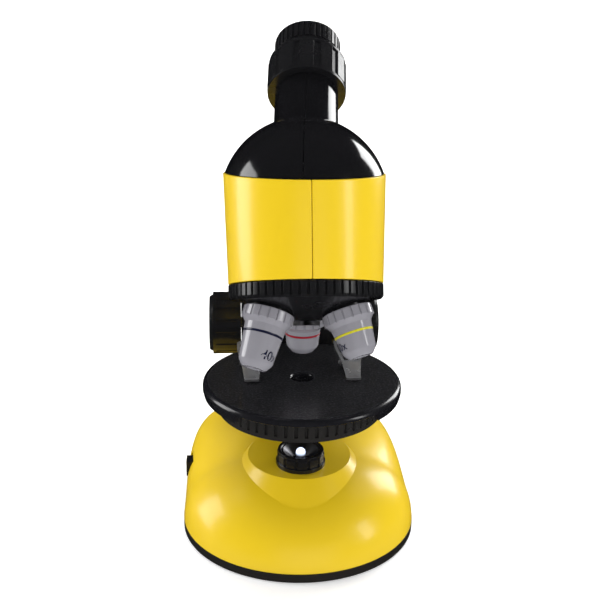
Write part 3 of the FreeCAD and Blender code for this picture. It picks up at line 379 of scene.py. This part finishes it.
MATERIALS["stage_black"] = stage_material()
WHEEL_FINISH = plastic("wheel_satin", (0.022, 0.021, 0.020), (0.018, 0.017, 0.016), (0.22, 0.28),
                       strength=0.03)
MATERIALS["led_lens"] = led_material()
SLOTS = {entry["node"]: entry["material_slot"] for entry in frame["record"]["subparts"]}


def paint(piece, slot):
    """Give a piece the material of its slot."""
    piece.data.materials.clear()
    piece.data.materials.append(MATERIALS[slot])


# edge radius in millimetres of the CAD nodes that are rounder than the rest
EDGES = {"filter_wheel": 0.3, "zoom_ring": 0.4, "eyecup": 0.3, "lamp_collar": 0.35, "focus_knob_left": 0.4,
         "focus_knob_right": 0.4, "arm_front_cover": 0.6, "arm_rear_shell": 0.6}
PLAIN_EDGE = 0.2


def round_edges(piece, width, angle):
    """Round the edges sharper than an angle, by a width in millimetres."""
    bevel = piece.modifiers.new("bevel", "BEVEL")
    bevel.width = width * MM
    bevel.segments = 3
    bevel.limit_method = "ANGLE"
    bevel.angle_limit = math.radians(angle)
    even = piece.modifiers.new("even", "WEIGHTED_NORMAL")
    even.keep_sharp = True


def soften(piece, width, angle=35.0):
    """Weld the tessellated CAD faces and round their sharp edges."""
    weld = piece.modifiers.new("weld", "WELD")
    weld.merge_threshold = 0.000002
    flat = piece.modifiers.new("flat", "DECIMATE")
    flat.decimate_type = "DISSOLVE"
    flat.angle_limit = math.radians(0.6)
    round_edges(piece, width, angle)


for node, piece in frame["nodes"].items():
    paint(piece, SLOTS[node])
    soften(piece, EDGES.get(node, PLAIN_EDGE))
frame["nodes"]["filter_wheel"].data.materials[0] = WHEEL_FINISH


# ---------------------------------------------------------------- mesh helpers
def basis(axis, zero):
    """Three square directions: one near zero, one across it and the axis itself."""
    first = (zero - axis * zero.dot(axis)).normalized()
    return first, axis.cross(first), axis


def link_object(name, mesh):
    """Object around a mesh, put in the scene."""
    piece = bpy.data.objects.new(name, mesh)
    bpy.context.scene.collection.objects.link(piece)
    return piece


def mesh_from(name, points, faces):
    """Clean mesh from points in millimetres."""
    form = bmesh.new()
    corners = [form.verts.new(Vector(point) * MM) for point in points]
    for face in faces:
        form.faces.new([corners[index] for index in face])
    bmesh.ops.remove_doubles(form, verts=form.verts, dist=0.000002)
    bmesh.ops.dissolve_degenerate(form, dist=0.000001, edges=form.edges)
    bmesh.ops.recalc_face_normals(form, faces=form.faces)
    mesh = bpy.data.meshes.new(name)
    form.to_mesh(mesh)
    form.free()
    for face in mesh.polygons:
        face.use_smooth = True
    return mesh


def place(piece, slot, body, replaced=(), width=0.25, angle=30.0):
    """Finish a piece: paint it, round its edges and tie it to its body."""
    paint(piece, slot)
    if width:
        round_edges(piece, width, angle)
    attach(piece, body)
    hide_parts(*replaced)


def carve(piece, cutters):
    """Cut other meshes out of a piece for good."""
    for cutter in cutters:
        cut = piece.modifiers.new("cut", "BOOLEAN")
        cut.operation = "DIFFERENCE"
        cut.solver = "EXACT"
        cut.object = cutter
    bpy.context.view_layer.update()
    graph = bpy.context.evaluated_depsgraph_get()
    mesh = bpy.data.meshes.new_from_object(piece.evaluated_get(graph))
    piece.modifiers.clear()
    piece.data = mesh
    for face in mesh.polygons:
        face.use_smooth = True
    for cutter in cutters:
        bpy.data.objects.remove(cutter)


def loops(columns, closed):
    """Points and faces of a skin over columns, each one a closed loop of points."""
    count = len(columns[0])
    points = [point for column in columns for point in column]
    faces = []
    last = len(columns) if closed else len(columns) - 1
    for index in range(last):
        following = (index + 1) % len(columns)
        for step in range(count):
            after = (step + 1) % count
            faces.append((index * count + step, index * count + after,
                          following * count + after, following * count + step))
    return points, faces


def shell_between(outer, inner):
    """Closed wall between two open grids of the same size, each a list of columns."""
    columns = [first + second[::-1] for first, second in zip(outer, inner)]
    points, faces = loops(columns, False)
    rows = len(outer[0])
    total = 2 * rows
    for start in (0, (len(columns) - 1) * total):
        for step in range(rows - 1):
            faces.append((start + step, start + step + 1, start + total - 2 - step, start + total - 1 - step))
    return points, faces


def flutes(count, land, steps=3):
    """Angles of a ribbed ring, each with its share of the groove's depth."""
    pitch = 2 * math.pi / count
    turns = []
    for index in range(count):
        for step in range(steps):
            turns.append((pitch * (index + land * (step / (steps - 1) - 0.5)), 0.0))
        turns.append((pitch * (index + 0.5 - 0.32 * (1 - land)), 1.0))
        turns.append((pitch * (index + 0.5 + 0.32 * (1 - land)), 1.0))
    return turns


def turned(profile, turns, base, axis, zero=RIGHT):
    """Ring turned from a closed outline of radius, height and groove depth."""
    first, second, along = basis(axis, zero)
    columns = []
    for angle, share in turns:
        outward = first * math.cos(angle) + second * math.sin(angle)
        columns.append([base + along * height + outward * (radius - depth * share)
                        for radius, height, depth in profile])
    return loops(columns, True)


def round_turns(count=96):
    """Angles of a plain ring."""
    return [(2 * math.pi * index / count, 0.0) for index in range(count)]


def arc(centre, radius, start, end, steps):
    """Points on an arc in an outline of radius and height, from one angle to another in degrees."""
    points = []
    for step in range(steps + 1):
        angle = math.radians(start + (end - start) * step / steps)
        points.append((centre[0] + radius * math.cos(angle), centre[1] + radius * math.sin(angle)))
    return points


def box_piece(name, low, high):
    """Block between two corners."""
    xs, ys, zs = zip(low, high)
    points = [(x, y, z) for z in zs for y in ys for x in xs]
    faces = ((0, 1, 3, 2), (4, 5, 7, 6), (0, 1, 5, 4), (2, 3, 7, 6), (0, 2, 6, 4), (1, 3, 7, 5))
    return link_object(name, mesh_from(name, points, faces))


# ---------------------------------------------------------------- base
def base_shape(sine):
    """Squareness of the outline and fullness of the side, which grow from the front to the back."""
    if sine < 0:
        return 2.0, 2.6 - 0.6 * sine * sine
    blend = min(1.0, sine / 0.4)
    return 2.0 + 2.0 * blend * blend * (3 - 2 * blend), 2.6 + 2.6 * sine * sine / (0.35 + sine)


def dome_height(x, y, inset):
    """Height of the dome over a point on the table."""
    away = y - BASE_WIDEST
    reach = (BASE_BACK - BASE_WIDEST if away > 0 else BASE_WIDEST - BASE_FRONT) - inset
    power, roundness = base_shape(away / max(math.hypot(x, away), 0.001))
    across, along = abs(x) / (BASE_HALF_WIDTH - inset), abs(away) / reach
    share = (across ** power + along ** power) ** (1 / power)
    if share >= 1:
        return 0.0
    return (DOME_TOP - inset) * (1 - share ** roundness) ** (1 / roundness)


def flank_height(x, y):
    """Height of the lamp platform and of its sloping flank."""
    return PLATFORM_Z - max(0.0, math.hypot(x, y - PLATFORM_Y) - PLATFORM_R) / PLATFORM_FLARE


def crossing(test, near, far):
    """Distance at which a test stops holding."""
    for _ in range(40):
        middle = (near + far) / 2
        if test(middle):
            near = middle
        else:
            far = middle
    return near


def base_columns():
    """Section of the base shell in every direction from the lamp hole, outside and inside."""
    outer, inner = [], []
    for index in range(180):
        angle = 2 * math.pi * index / 180
        x, y = math.cos(angle), math.sin(angle)
        edge = y * PLATFORM_Y + math.sqrt((y * PLATFORM_Y) ** 2 - PLATFORM_Y ** 2 + PLATFORM_R ** 2)
        foot = crossing(lambda t: flank_height(t * x, t * y) > dome_height(t * x, t * y, 0.0),
                        edge, edge + 30)
        rim = crossing(lambda t: dome_height(t * x, t * y, 0.0) > PLATE_TOP, foot, 120)
        column = []
        for step in range(5):
            along = LAMP_HOLE_R + (edge - LAMP_HOLE_R) * step / 5
            column.append(Vector((along * x, along * y, PLATFORM_Z)))
        for step in range(8):
            along = edge + (foot - edge) * step / 8
            column.append(Vector((along * x, along * y, flank_height(along * x, along * y))))
        for step in range(49):
            along = foot + (rim - foot) * (1 - (1 - step / 48) ** 2)
            height = dome_height(along * x, along * y, 0.0) if step < 48 else PLATE_TOP
            column.append(Vector((along * x, along * y, height)))
        outer.append(column)
        inside = crossing(lambda t: dome_height(t * x, t * y, BASE_WALL) > PLATE_TOP, LAMP_HOLE_R, 120)
        column = []
        for step in range(62):
            along = LAMP_HOLE_R + (inside - LAMP_HOLE_R) * (1 - (1 - step / 61) ** 2)
            height = dome_height(along * x, along * y, BASE_WALL) if step < 61 else PLATE_TOP
            column.append(Vector((along * x, along * y, height)))
        inner.append(column)
    return [first + second[::-1] for first, second in zip(outer, inner)]


def make_base():
    """Domed base shell with the slot for the switch and the pocket that takes the arm."""
    points, faces = loops(base_columns(), True)
    shell = link_object("base_body", mesh_from("base_body", points, faces))
    slot = box_piece("slot_cutter", SWITCH_SLOT_LOW, SWITCH_SLOT_HIGH)
    outline = []
    middle = (ARM_FRONT + ARM_BACK) / 2
    for x, y, start in ((1, 1, 0), (-1, 1, 90), (-1, -1, 180), (1, -1, 270)):
        centre_x = x * (ARM_HALF - ARM_CORNER)
        centre_y = middle + y * ((ARM_BACK - ARM_FRONT) / 2 - ARM_CORNER)
        outline += arc((centre_x, centre_y), ARM_CORNER + ARM_GAP, start, start + 90, 8)
    columns = [[Vector((x, y, 0)), Vector((x, y, 60))] for x, y in outline]
    count = len(columns)
    points = [point for column in columns for point in column]
    faces = [tuple(range(0, 2 * count, 2)), tuple(range(1, 2 * count, 2))]
    for index in range(count):
        after = (index + 1) % count
        faces.append((2 * index, 2 * after, 2 * after + 1, 2 * index + 1))
    arm = link_object("arm_cutter", mesh_from("arm_cutter", points, faces))
    carve(shell, [slot, arm])
    place(shell, "yellow_shell", "root", ("base_shell",), 0.5, 18.0)


# ---------------------------------------------------------------- head
def sleeve_half(side):
    """Half of the leaning sleeve, cut square at the foot and slanting at the rim."""
    slope = (SLEEVE_TOP_R - SLEEVE_BOTTOM_R) / (SLEEVE_BOTTOM + SLEEVE_REACH)
    outer, inner = [], []
    for index in range(61):
        angle = math.radians(side * (SLEEVE_SEAM + (180 - 2 * SLEEVE_SEAM) * index / 60) - 90)
        outward = RIGHT * math.cos(angle) + HEAD_BACK * math.sin(angle)
        for inset, grid in ((0.0, outer), (SLEEVE_WALL, inner)):
            start_r = SLEEVE_BOTTOM_R - inset
            foot = APEX + HEAD_DOWN * SLEEVE_BOTTOM + outward * start_r
            run = HEAD_UP + outward * slope
            rise = RIM_HEIGHT - (foot - BALL_CENTRE).dot(SWIVEL_UP)
            top = foot + run * (rise / run.dot(SWIVEL_UP))
            grid.append([foot + (top - foot) * (row / 8) for row in range(9)])
    return shell_between(outer, inner)


def make_sleeve():
    """The sleeve's two halves, with their seam in front and behind."""
    for side, name in ((-1, "left"), (1, "right")):
        points, faces = sleeve_half(side)
        piece = link_object("sleeve_skin_" + name, mesh_from("sleeve_skin_" + name, points, faces))
        place(piece, "yellow_shell", "root", ("sleeve_" + name,), 0.3, 40.0)


def sphere_end(radius, outward):
    """Angle from the tube's axis at which the ball meets its rim plane."""
    across = outward.dot(SWIVEL_UP)
    along = TUBE_UP.dot(SWIVEL_UP)
    level = (RIM_HEIGHT + 0.25) / radius
    return math.atan2(across, along) + math.acos(level / math.hypot(across, along))


def ball_half(side):
    """Half of the ball with its tube, blended into each other."""
    turn = Matrix.Rotation(math.radians(HEAD_TURN), 3, SWIVEL_UP)
    first, second, _ = basis(TUBE_UP, turn @ RIGHT)
    centre_h = math.sqrt((BALL_R + TUBE_FILLET) ** 2 - (TUBE_R + TUBE_FILLET) ** 2)
    swing = math.degrees(math.atan2(TUBE_R + TUBE_FILLET, centre_h))
    outline = [(SPIGOT_R, SPIGOT_END - 0.3), (SPIGOT_R, TUBE_END), (TUBE_R, TUBE_END)]
    outline += arc((TUBE_R + TUBE_FILLET, centre_h), TUBE_FILLET, 180, 270 - swing, 7)
    inner_start = math.degrees(math.asin(TUBE_BORE / (BALL_R - BALL_WALL)))
    inner_h = (BALL_R - BALL_WALL) * math.cos(math.radians(inner_start))
    bore = [(TUBE_BORE, SPIGOT_END - 0.3), (TUBE_BORE, TUBE_END)]
    bore += [(TUBE_BORE, TUBE_END + (inner_h - TUBE_END) * step / 10) for step in range(1, 10)]
    outer, inner = [], []
    for index in range(61):
        angle = math.radians(side * (BALL_SEAM + (180 - 2 * BALL_SEAM) * index / 60) - 90)
        outward = first * math.cos(angle) + second * math.sin(angle)
        ends = ((BALL_R, outline, math.radians(swing), outer),
                (BALL_R - BALL_WALL, bore, math.radians(inner_start), inner))
        for radius, start, opening, grid in ends:
            column = [BALL_CENTRE + outward * r + TUBE_UP * h for r, h in start]
            end = max(sphere_end(radius, outward), opening + 0.01)
            for step in range(1, 25):
                polar = opening + (end - opening) * step / 24
                way = outward * math.sin(polar) + TUBE_UP * math.cos(polar)
                column.append(BALL_CENTRE + way * radius)
            grid.append(column)
    return shell_between(outer, inner)


def make_ball():
    """The ball's two halves, and the neck that turns in the sleeve's rim."""
    for side, name in ((-1, "left"), (1, "right")):
        points, faces = ball_half(side)
        piece = link_object("ball_skin_" + name, mesh_from("ball_skin_" + name, points, faces))
        place(piece, "black_gloss", "eyepiece_head", ("ball_" + name,), 0.18, 40.0)
    bottom, flange, top = RIM_HEIGHT - NECK_REACH, RIM_HEIGHT + 0.3, RIM_HEIGHT + 2.0
    neck = ((NECK_R, bottom, 0), (NECK_R, flange, 0), (NECK_FLANGE_R, flange, 0), (NECK_FLANGE_R, top, 0),
            (NECK_R - NECK_WALL, top, 0), (NECK_R - NECK_WALL, bottom, 0))
    points, faces = turned(neck, round_turns(), BALL_CENTRE, SWIVEL_UP)
    place(link_object("head_neck", mesh_from("head_neck", points, faces)), "inner_plastic", "eyepiece_head")


# ---------------------------------------------------------------- stage
def stage_column(angle, low):
    """Outline of the stage in one direction, its skirt reaching down to a height."""
    lip = STAGE_UNDER - 1.0 if low < STAGE_UNDER else low + 0.35
    outline = [(STAGE_HOLE_R, STAGE_UNDER), (STAGE_HOLE_R, STAGE_TOP - 0.5), (STAGE_HOLE_R + 0.5, STAGE_TOP)]
    outline += [(12.0, STAGE_TOP), (20.0, STAGE_TOP), (28.0, STAGE_TOP), (34.0, STAGE_TOP)]
    outline += arc((STAGE_R - STAGE_ROUND, STAGE_TOP - STAGE_ROUND), STAGE_ROUND, 90, 0, 6)
    outline += [(STAGE_R, lip), (STAGE_R - 0.5, low)]
    outline += [(STAGE_R - SKIRT_WALL, low), (STAGE_R - SKIRT_WALL, STAGE_UNDER)]
    return [Vector((r * math.cos(angle), r * math.sin(angle), z)) for r, z in outline]


def make_stage():
    """Round stage with its cut-away skirt, the wheel's boss and the clips' stands."""
    cuts = ((270, CUT_OUT), (90, TONGUE_CUT))
    columns = []
    for step in range(180):
        turn = 2.0 * step
        inside = any(abs(turn - middle) < half for middle, half in cuts)
        columns.append((turn, STAGE_UNDER if inside else STAGE_BOTTOM))
    for middle, half in cuts:
        for way in (-1, 1):
            turn = middle + way * half
            columns.append((turn - way * 0.01, STAGE_UNDER))
            columns.append((turn + way * 0.01, STAGE_BOTTOM))
    columns.sort()
    points, faces = loops([stage_column(math.radians(turn), low) for turn, low in columns], True)
    plate = link_object("stage_table", mesh_from("stage_table", points, faces))
    place(plate, "stage_black", "stage", ("stage_plate",), 0.2, 40.0)
    root = STAGE_UNDER + 0.2
    boss = ((PIVOT_R, BOSS_BOTTOM, 0), (BOSS_R, BOSS_BOTTOM, 0), (BOSS_R, root, 0), (PIVOT_R, root, 0))
    points, faces = turned(boss, round_turns(48), Vector((0, PIVOT_Y, 0)), UP)
    place(link_object("stage_boss", mesh_from("stage_boss", points, faces)), "stage_black", "stage")
    for side, name in ((-1, "left"), (1, "right")):
        x = side * CLIP_X
        outline = [(CLIP_Y + STAND_R, STAGE_TOP - 0.4)] + arc((CLIP_Y, CLIP_Z), STAND_R, 0, 180, 10)
        outline += [(CLIP_Y - STAND_R, STAGE_TOP - 0.4)]
        count = len(outline)
        points = [(x + way * STAND_HALF, y, z) for way in (-1, 1) for y, z in outline]
        faces = [tuple(range(count)), tuple(range(count, 2 * count))]
        for index in range(count):
            after = (index + 1) % count
            faces.append((index, after, count + after, count + index))
        stand = link_object("clip_stand_" + name, mesh_from("clip_stand_" + name, points, faces))
        place(stand, "stage_black", "stage")


# ---------------------------------------------------------------- objectives
def objective_axis(turn):
    """Direction in which an objective points down from the apex."""
    around = math.radians(turn)
    spread = math.radians(OBJECTIVE_SPREAD)
    outward = HEAD_BACK * math.cos(around) + RIGHT * math.sin(around)
    return HEAD_DOWN * math.cos(spread) + outward * math.sin(spread)


def barrel_radius(along, tip, barrel):
    """Radius of the tapering barrel at a distance from the apex."""
    start = SEAT + COLLAR_LENGTH + 1.6
    end = tip - 2.2
    return barrel - (barrel - NOZZLE_R) * (along - start) / (end - start)


def make_objective(name, turn, tip, band, barrel):
    """Grey barrel with a ribbed collar, a groove for its band and a stepped nose."""
    axis = objective_axis(turn)
    base = APEX + HEAD_UP * OBJECTIVE_RISE
    collar = SEAT + COLLAR_LENGTH
    after = band + BAND_WIDTH
    start, end = barrel_radius(band, tip, barrel), barrel_radius(after, tip, barrel)
    stem = SEAT - STEM_LENGTH
    profile = [(OBJECTIVE_BORE, stem, 0), (STEM_R, stem, 0), (STEM_R, SEAT + 0.1, 0)]
    profile += [(GRIP_R - 0.3, SEAT + 0.1, 0.2), (GRIP_R, SEAT + 0.4, 0.5), (GRIP_R, collar - 0.3, 0.5)]
    profile += [(GRIP_R - 0.5, collar, 0.0), (barrel, collar + 1.6, 0)]
    profile += [(start, band, 0), (start - BAND_DEPTH, band, 0)]
    profile += [(end - BAND_DEPTH, after, 0), (end, after, 0)]
    profile += [(NOZZLE_R + 0.12, tip - 2.9, 0), (NOZZLE_R - 0.1, tip - 2.2, 0), (5.4, tip - 1.1, 0)]
    profile += [(4.7, tip - 0.3, 0), (4.3, tip, 0), (2.6, tip, 0), (2.2, tip - 1.6, 0), (2.2, tip - 3.0, 0)]
    profile += [(OBJECTIVE_BORE, tip - 8.0, 0)]
    points, faces = turned(profile, flutes(18, 0.8, 4), base, axis)
    piece = link_object("objective_skin_" + name, mesh_from("objective_skin_" + name, points, faces))
    place(piece, "objective_grey", "turret", ("objective_" + name,), 0.15, 25.0)


def make_numeral(name, text, along, facing, height):
    """Raised magnification figure, bent round the barrel at a distance from the apex."""
    turn, tip, _, barrel = next(entry[1:] for entry in OBJECTIVES if entry[0] == name)
    data = bpy.data.curves.new("figure_" + name, "FONT")
    data.body = text
    data.size = height
    data.align_x = "CENTER"
    data.extrude = FIGURE_HALF
    data.offset = FIGURE_BOLD
    letters = link_object("figure_source", data)
    bpy.context.view_layer.update()
    mesh = bpy.data.meshes.new_from_object(letters.evaluated_get(bpy.context.evaluated_depsgraph_get()))
    bpy.data.objects.remove(letters)
    form = bmesh.new()
    form.from_mesh(mesh)
    bmesh.ops.remove_doubles(form, verts=form.verts, dist=0.0005)
    bmesh.ops.triangulate(form, faces=form.faces)
    axis = objective_axis(turn)
    base = APEX + HEAD_UP * OBJECTIVE_RISE
    first, second, _ = basis(axis, Vector(facing))
    for vertex in form.verts:
        across, up, out = vertex.co
        down = along - up
        radius = barrel_radius(down, tip, barrel) + FIGURE_LIFT + out
        angle = -across / radius
        outward = first * math.cos(angle) + second * math.sin(angle)
        vertex.co = (base + axis * down + outward * radius) * MM
    bmesh.ops.recalc_face_normals(form, faces=form.faces)
    form.to_mesh(mesh)
    form.free()
    piece = link_object("figure_" + name, mesh)
    place(piece, "band_navy", "turret", (), 0)


def make_turret_ring():
    """Ribbed grip with narrow dark grooves and a chamfered lower lip."""
    low, high = RING_TOP, RING_BOTTOM
    profile = ((RING_BORE, low, 0), (RING_R - 0.3, low, 0), (RING_R, low + 0.3, 0.9),
               (RING_R, high - 1.1, 0.9), (RING_R - 0.3, high - 0.7, 0), (RING_R - 1.0, high, 0),
               (RING_BORE, high, 0))
    points, faces = turned(profile, flutes(60, 0.68, 4), APEX, HEAD_DOWN)
    grip = link_object("turret_grip", mesh_from("turret_grip", points, faces))
    place(grip, "black_satin", "turret", ("turret_ring",), 0.32, 25.0)


make_base()
make_sleeve()
make_ball()
make_stage()
for entry in OBJECTIVES:
    make_objective(*entry)
for entry in FIGURES:
    make_numeral(*entry)
make_turret_ring()

bpy.context.scene.view_settings.view_transform = "Standard"


# ---------------------------------------------------------------- studio
def studio_surface(name, colour, rough):
    """Nearly even paper."""
    material, tree, shader = new_material(name)
    tone = link_noise(tree, 3.0)
    low = tuple(part * 0.985 for part in colour)
    tree.links.new(link_ramp(tree, tone.outputs["Fac"], low, colour), shader.inputs["Base Color"])
    shader.inputs["Roughness"].default_value = rough
    return material


def make_floor():
    """Pale floor that curves up into a backdrop behind the object."""
    mesh = bpy.data.meshes.new("floor")
    form = bmesh.new()
    half, back, radius, height = 1.6, 0.9, 0.4, 1.4
    line = [(-half, 0.0), (back - radius, 0.0)]
    for step in range(1, 17):
        angle = math.pi / 2 * step / 16
        line.append((back - radius + radius * math.sin(angle), radius - radius * math.cos(angle)))
    line.append((back, height))
    rows = [[form.verts.new((x, y, z)) for x in (-half, half)] for y, z in line]
    for first, second in zip(rows, rows[1:]):
        form.faces.new((first[0], first[1], second[1], second[0]))
    form.to_mesh(mesh)
    form.free()
    floor = bpy.data.objects.new("floor", mesh)
    bpy.context.scene.collection.objects.link(floor)
    for face in mesh.polygons:
        face.use_smooth = True
    mesh.materials.append(studio_surface("floor_paper", (0.93, 0.93, 0.93), 0.7))
    glow = mesh.materials[0].node_tree.nodes["Principled BSDF"]
    glow.inputs["Emission Color"].default_value = (1, 1, 1, 1)
    glow.inputs["Emission Strength"].default_value = 0.3
    floor.visible_glossy = False


def area_light(name, place, target, size, power, shiny=True):
    """Soft box aimed at a point, which reflections show only if it is shiny."""
    data = bpy.data.lights.new(name, "AREA")
    data.shape = "RECTANGLE"
    data.size, data.size_y = size
    data.energy = power
    lamp = bpy.data.objects.new(name, data)
    bpy.context.scene.collection.objects.link(lamp)
    lamp.location = place
    lamp.rotation_euler = (Vector(target) - Vector(place)).to_track_quat("-Z", "Y").to_euler()
    lamp.visible_glossy = shiny


def make_lights():
    """Soft boxes at the sides and behind, and a soft fill that leaves no reflection."""
    world = bpy.data.worlds.new("studio")
    world.use_nodes = True
    bpy.context.scene.world = world
    world.cycles_visibility.glossy = False
    sky = world.node_tree.nodes["Background"]
    sky.inputs["Color"].default_value = (1, 1, 1, 1)
    sky.inputs["Strength"].default_value = 0.20
    middle = (0, 0, 0.12)
    area_light("box_left", (-0.78, 0.15, 0.32), middle, (0.40, 0.58), 3.3)
    area_light("box_right", (0.66, -0.36, 0.40), middle, (0.16, 0.4), 1.1)
    area_light("box_back", (0.60, 0.50, 0.36), middle, (0.30, 0.45), 3.0)
    area_light("fill", (0.1, -1.15, 0.3), middle, (1.0, 0.8), 8.2, False)
    area_light("top", (0, 0.1, 1.1), middle, (0.9, 0.9), 2.0, False)
    area_light("backdrop", (0, 0.25, 0.9), (0, 0.9, 0.2), (1.6, 0.4), 10.0, False)


make_floor()
make_lights()
